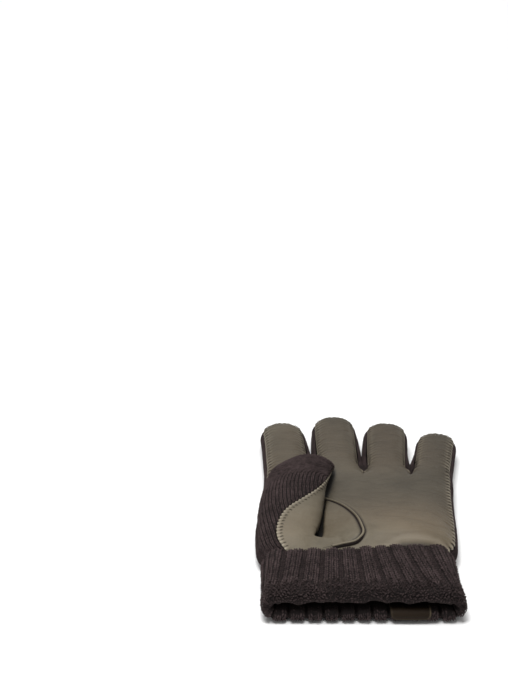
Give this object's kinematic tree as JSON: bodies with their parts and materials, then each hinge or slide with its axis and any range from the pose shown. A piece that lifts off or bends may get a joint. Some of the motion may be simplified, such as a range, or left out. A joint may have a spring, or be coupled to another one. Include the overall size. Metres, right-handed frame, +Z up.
{
  "type": "dress glove",
  "caption": "Left-hand dress glove lying palm up: knitted wool back and turned-back ribbed cuff, leather palm, thumb folded across the palm.",
  "frame": {"origin": "under the middle of the glove's box, on the surface that it lies on", "axes": "+Z up, +Y from the wrist to the fingertips, +X from the thumb's side to the little finger"},
  "size_m": [0.1292, 0.2426, 0.032],
  "materials": {
    "leather": "smooth grey-olive nappa leather with a soft sheen",
    "wool_knit": "plain knitted wool in a dark purplish brown",
    "wool_rib": "rib-knitted wool in the same dark yarn",
    "welt_leather": "rolled strip of the palm's leather between two dark seams",
    "tab_leather": "dark brown leather with a paler cut edge"
  },
  "bodies": {
    "root": {"palm_leather": "leather", "back_knit": "wool_knit", "thumb_knit": "wool_knit", "thumb_leather": "leather", "thumb_welt": "welt_leather", "rib_cuff": "wool_rib", "hem_tab": "tab_leather"}
  },
  "joints": []
}
